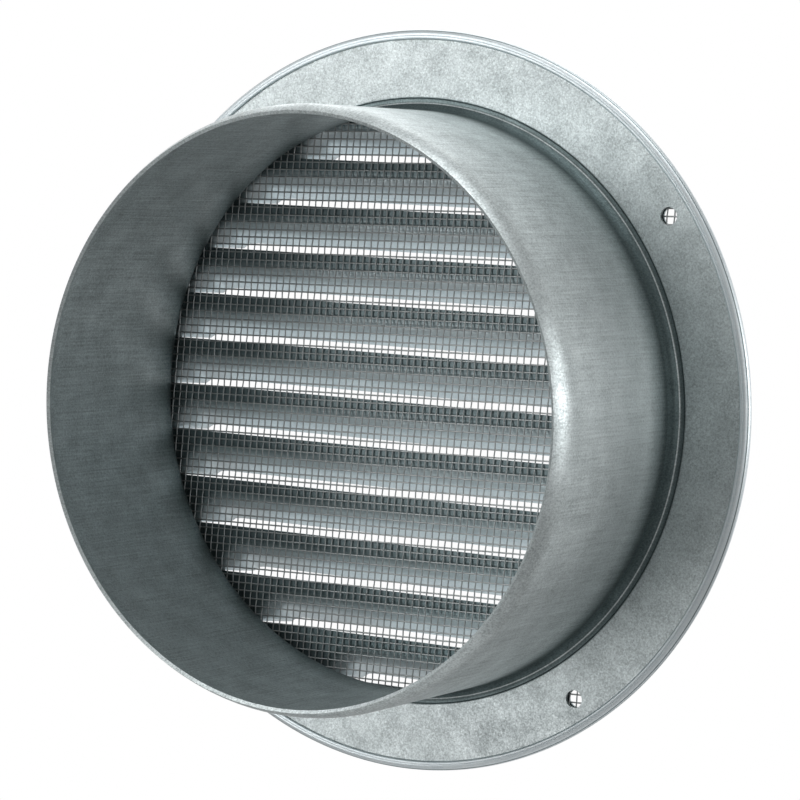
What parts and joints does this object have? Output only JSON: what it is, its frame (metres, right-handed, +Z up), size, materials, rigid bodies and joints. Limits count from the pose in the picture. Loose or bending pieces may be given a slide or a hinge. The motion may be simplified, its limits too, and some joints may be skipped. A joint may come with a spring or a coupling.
{
  "type": "louvred vent grille",
  "caption": "Round galvanised steel vent grille with pressed horizontal louvres, insect mesh behind them and a duct collar on the back, screwed to a wall through its flange.",
  "frame": {"origin": "on the collar's axis, in the plane of the wall that the rim sits against", "axes": "+Y along the collar into the wall, -Y out of the louvred face, +Z up with the louvres level"},
  "size_m": [0.19, 0.0658, 0.19],
  "materials": {
    "collar_sheet": "galvanised sheet, drawn, with fine spangle",
    "wire_cloth": "plain woven galvanised wire",
    "plate_sheet": "galvanised sheet, pressed, with fine spangle"
  },
  "bodies": {
    "root": {"spigot_collar": "collar_sheet", "insect_mesh": "wire_cloth", "louvre_plate": "plate_sheet"}
  },
  "joints": []
}
